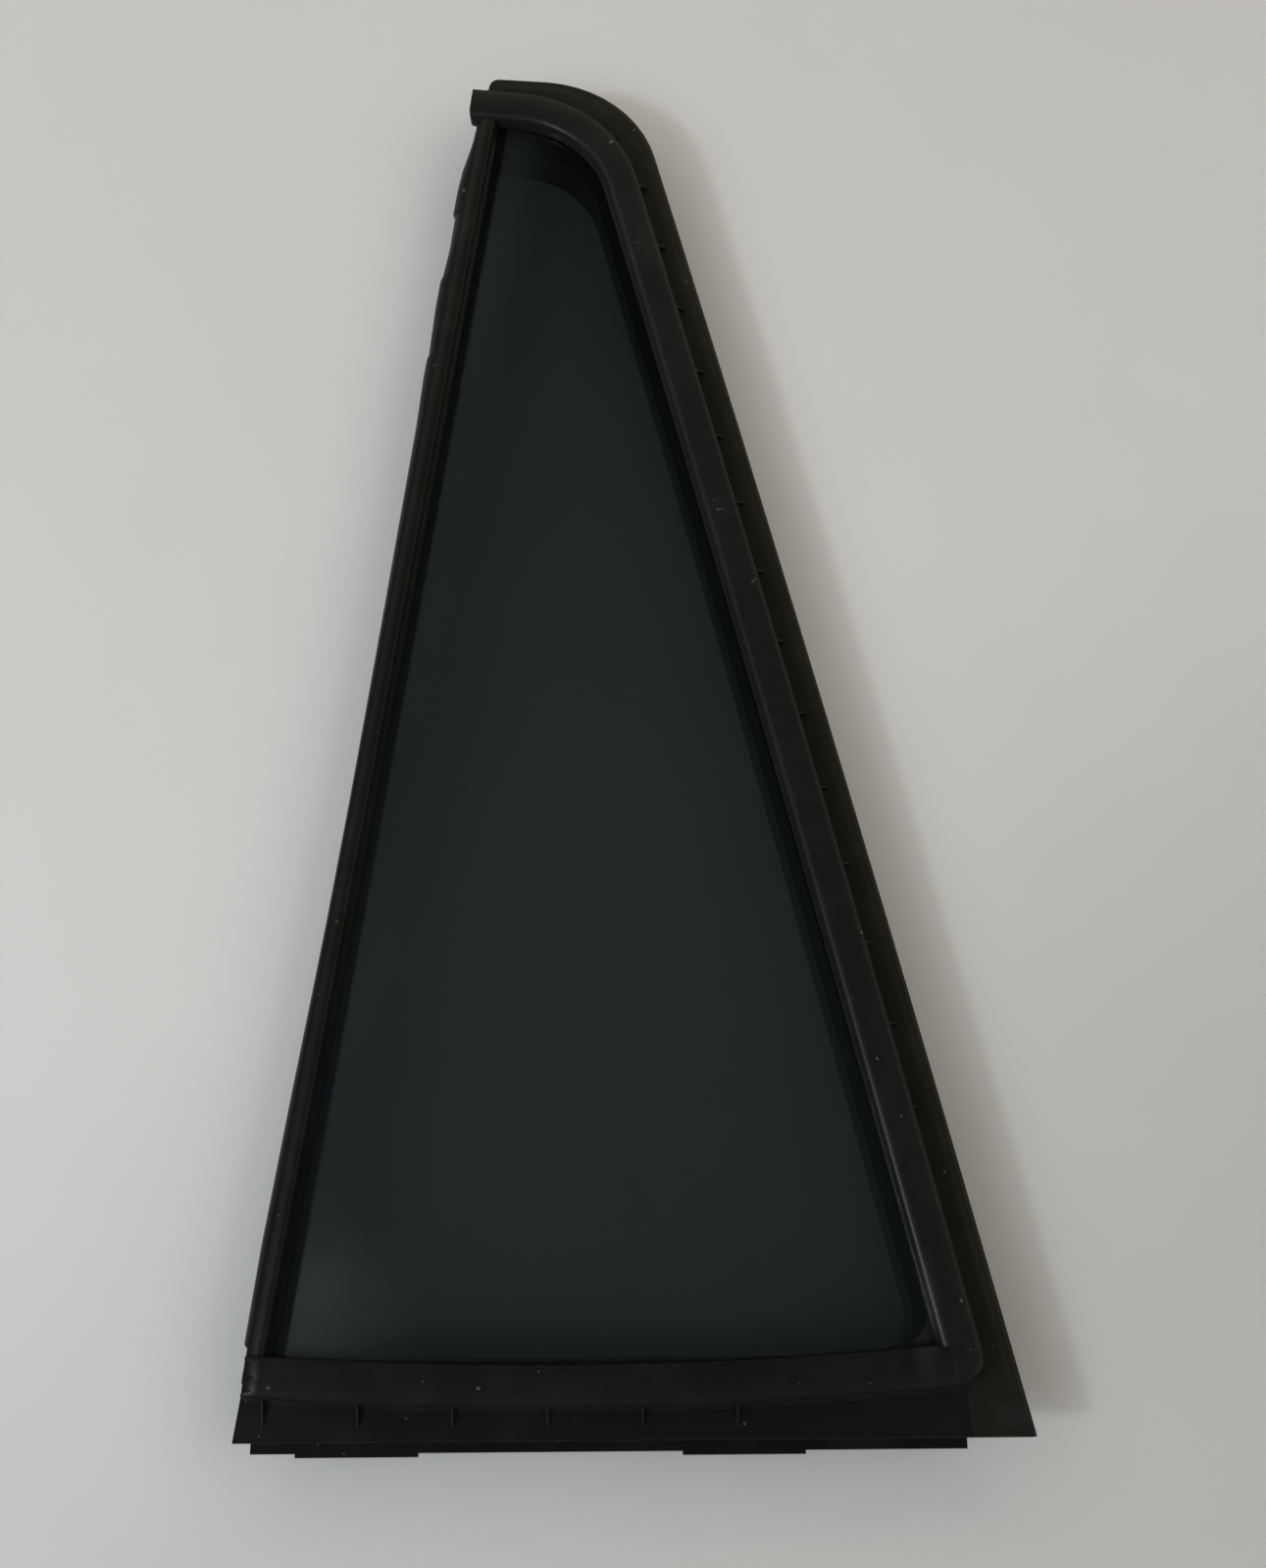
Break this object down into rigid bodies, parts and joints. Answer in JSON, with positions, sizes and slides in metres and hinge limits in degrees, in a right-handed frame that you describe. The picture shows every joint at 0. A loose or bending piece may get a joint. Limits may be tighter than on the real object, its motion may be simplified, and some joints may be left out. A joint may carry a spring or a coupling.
{
  "type": "door window glass",
  "caption": "Fixed rear door quarter glass: a dark tinted triangular pane held in a moulded black rubber seal with a raised bead, skirt and retaining groove.",
  "frame": {"origin": "middle of the outline, on the inner face that the seal lies on", "axes": "+X towards the slanted rear edge, +Y up along the door from the sill to the round corner, +Z out of the door"},
  "size_m": [0.213, 0.4382, 0.025],
  "materials": {
    "tinted_glass": "gloss",
    "seal_rubber": "satin"
  },
  "bodies": {
    "root": {"quarter_glass": "tinted_glass", "rubber_seal": "seal_rubber"}
  },
  "joints": []
}
